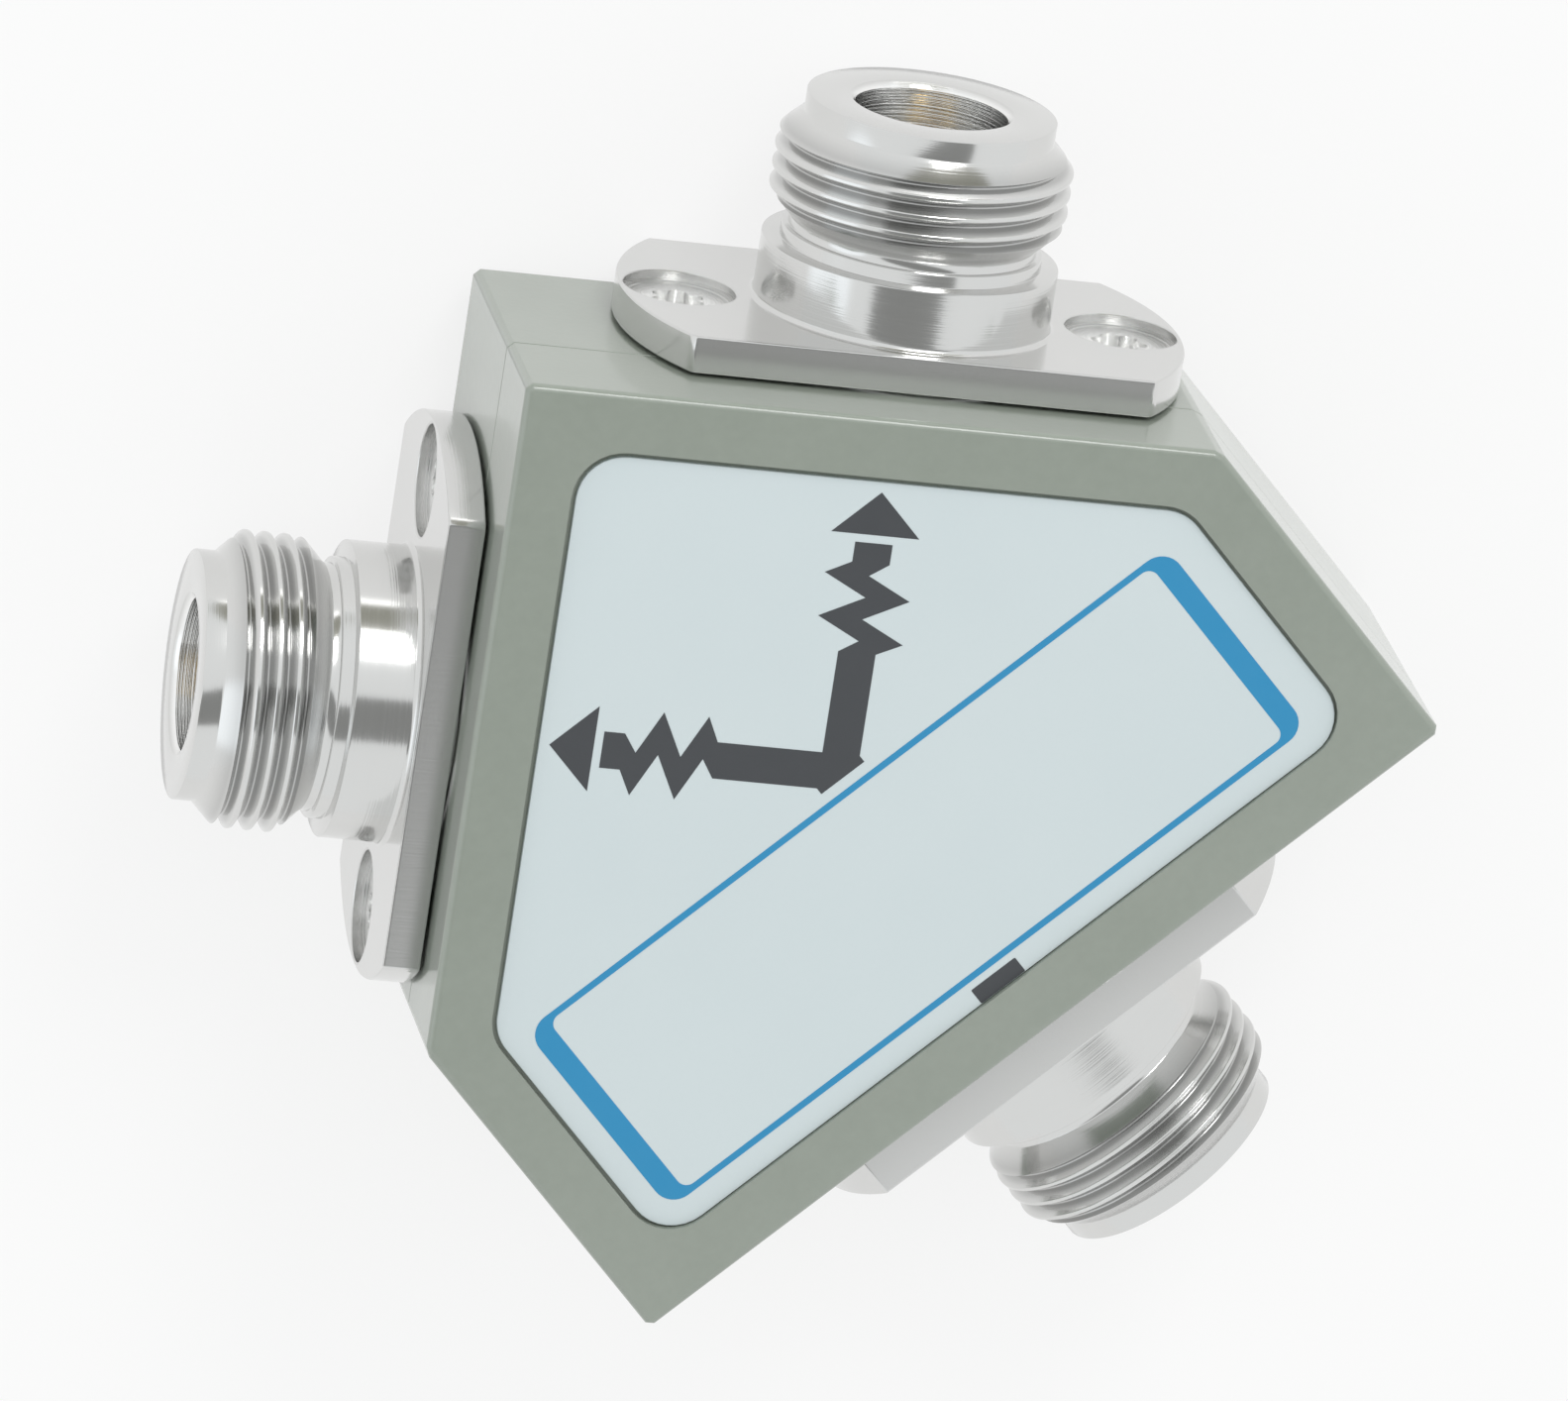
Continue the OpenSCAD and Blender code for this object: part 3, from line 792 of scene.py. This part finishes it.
def bead_plastic():
    """Waxy off-white plastic, a little cloudy in tone, with a fine grain."""
    material, plastic = new_material("bead_plastic")
    place = plastic.node("TexCoord", output="Object")
    cloud = place.noise(1.0 * MM, 3)
    plastic.principled({
        "Base Color": cloud.mix((0.84, 0.83, 0.76), (0.88, 0.87, 0.81)),
        "Roughness": 0.38 + cloud * 0.15,
        "Normal": place.noise(0.08 * MM, 2).bump(0.002 * MM, 0.3),
    })
    return material


bead = bead_plastic()
for port in PORT_LIFT:
    node = port + "_support_bead"
    fit(solid_copy(node, "washer_" + node, ROUND_ANGLE), bead, "bead_plastic", node)


# Pieces inside the housing
# Bead retainers and cover screws of steel, the ceramic plate of the circuit with its plated strips,
# and two chip resistors. The solids already have the right form, so they only take their finish.


def plain_finish(name, dark, light, roughness, metallic=0.0):
    """A machined, fired or coated surface with a fine grain between two tones."""
    material, surface = new_material(name)
    grain = surface.node("TexCoord", output="Object").noise(0.2 * MM, 4)
    surface.principled({
        "Base Color": grain.mix(dark, light),
        "Metallic": metallic,
        "Roughness": roughness + grain * 0.1,
        "Normal": grain.bump(0.002 * MM, 0.3),
    })
    return material


inner_steel = plain_finish("inner_steel", (0.62, 0.62, 0.61), (0.70, 0.70, 0.69), 0.25, 1.0)
ceramic = plain_finish("fired_ceramic", (0.84, 0.84, 0.80), (0.90, 0.90, 0.87), 0.55)
resistor_film = plain_finish("resistor_film", (0.022, 0.022, 0.026), (0.040, 0.040, 0.046), 0.45)
inner_finish = {"cover_screws": inner_steel, "ceramic_substrate": ceramic, "junction_strip": gold}
inner_finish |= {port + "_bead_retainer": inner_steel for port in PORT_LIFT}
for side in ("left", "right"):
    inner_finish[side + "_output_strip"] = gold
    inner_finish[side + "_resistor"] = resistor_film
for node, material in inner_finish.items():
    solid = frame["nodes"][node]
    solid.data.materials.clear()
    solid.data.materials.append(material)


# Studio
# A pale table under an even white sky, lit by a soft box. A grey cloth overhead, a warm grey screen and
# a cool reflector at two sides and a strip of light on the table give the bright metal something to
# mirror, and stay out of the camera's sight.

FLOOR_R = 0.6
FLOOR_GLOW = 0.78
SKY = (0.96, 0.975, 0.98)
# Each card's middle, its half width and half height as vectors, its glow, and where its rim begins
CARDS = {
    "grey_cloth": ((-0.075, -0.033, 0.5), (0.378, -0.119, 0), (0.047, 0.139, 0), (0.30, 0.305, 0.30), 0.8),
    "warm_screen": ((0.41, 0.29, 0.10), (-0.115, 0.165, 0), (0, 0, 0.16), (0.36, 0.36, 0.31), 0.8),
    "cool_reflector": ((-0.42, 0.23, 0.18), (0.10, 0.18, 0), (0, 0, 0.22), (1.28, 1.33, 1.37), 0.3),
    "light_strip": ((0.205, 0.1425, 0.012), (-0.06, 0.085, 0), (0, 0, 0.012), (2.0, 2.0, 1.98), 0.9),
}


def studio_sky():
    """The same soft light from all round."""
    world = bpy.data.worlds.new("studio_sky")
    world.use_nodes = True
    world.node_tree.nodes.clear()
    sky = Shade(world.node_tree)
    sky.node("OutputWorld", inputs={"Surface": sky.node("Background", inputs={"Color": SKY})})
    return world


def card_sheet(name, colour, rim):
    """A sheet of one brightness, oval because it is clear outside the rim."""
    material, sheet = new_material(name)
    place = sheet.node("TexCoord", output="UV")
    u, v = (axis * 2 - 1 for axis in place.axes()[:2])
    inside = (u * u + v * v).rise(1, rim)
    glow = sheet.node("Emission", inputs={"Color": colour})
    parts = {0: inside, 1: sheet.node("BsdfTransparent"), 2: glow}
    sheet.node("OutputMaterial", inputs={"Surface": sheet.node("MixShader", inputs=parts)})
    return material


def table_top():
    """White laminate, which looks evenly lit to the camera and in metal but keeps the object's shadow."""
    material, top = new_material("table_top")
    place = top.node("TexCoord", output="Object")
    grain = place.noise(50 * MM).mix((0.84, 0.84, 0.83), (0.86, 0.86, 0.85))
    matt = top.node("BsdfDiffuse", inputs={"Color": grain})
    glow = top.node("Emission", inputs={"Color": (1, 1, 1)})
    rays = top.node("LightPath").socket.node.outputs
    kinds = ("Is Camera Ray", "Is Glossy Ray", "Is Transmission Ray")
    seen = sum((Shade(top.tree, rays[kind]) for kind in kinds), 0).rise(0, 1) * FLOOR_GLOW
    parts = {0: seen, 1: matt, 2: glow}
    top.node("OutputMaterial", inputs={"Surface": top.node("MixShader", inputs=parts)})
    return material


bpy.context.scene.world = studio_sky()
bpy.ops.object.select_all(action="DESELECT")
bpy.ops.mesh.primitive_circle_add(vertices=96, radius=FLOOR_R, fill_type="NGON")
floor = bpy.context.object
floor.name = "table"
floor.data.transform(Matrix.Translation((0, 0, cad_box[0].z)))
floor.data.materials.append(table_top())

for name, (middle, across, up, colour, rim) in CARDS.items():
    bpy.ops.object.select_all(action="DESELECT")
    bpy.ops.mesh.primitive_plane_add(size=2)
    card = bpy.context.object
    card.name = name
    sides = Matrix((across, up, Vector(across).cross(Vector(up)).normalized())).transposed()
    card.data.transform(Matrix.Translation(middle) @ sides.to_4x4())
    card.data.materials.append(card_sheet(name, colour, rim))
    card.visible_camera = False

BOX_TO = Vector((0.67, 0.44, 0.60))
BOX_DISTANCE, BOX_SIZE, BOX_POWER = 0.6, 0.2, 0.9
lamp = bpy.data.lights.new("soft_box", "AREA")
lamp.size = BOX_SIZE
lamp.energy = BOX_POWER
box = bpy.data.objects.new("soft_box", lamp)
box.location = BOX_TO * BOX_DISTANCE
box.rotation_euler = BOX_TO.to_track_quat("Z", "Y").to_euler()
bpy.context.scene.collection.objects.link(box)


# Camera
# A long lens that looks down on the label from beyond the apex, turned about its own axis so that
# the base runs from the lower left to the right, as in the photograph.

CAMERA_AT = Vector((77.70, 360.46, 993.13)) * MM
CAMERA_AIM = Vector((0.148, 8.162, 22.0)) * MM
CAMERA_ROLL = 154.555
CAMERA_LENS = 454.83
SENSOR_WIDTH = 36

camera = bpy.data.objects.new("camera", bpy.data.cameras.new("camera"))
camera.data.sensor_fit = "HORIZONTAL"
camera.data.sensor_width = SENSOR_WIDTH
camera.data.lens = CAMERA_LENS
aim = (CAMERA_AIM - CAMERA_AT).to_track_quat("-Z", "Y").to_matrix().to_4x4()
roll = Matrix.Rotation(math.radians(CAMERA_ROLL), 4, "Z")
camera.matrix_world = Matrix.Translation(CAMERA_AT) @ aim @ roll
bpy.context.scene.collection.objects.link(camera)
bpy.context.scene.camera = camera
bpy.context.scene.view_settings.view_transform = "Standard"
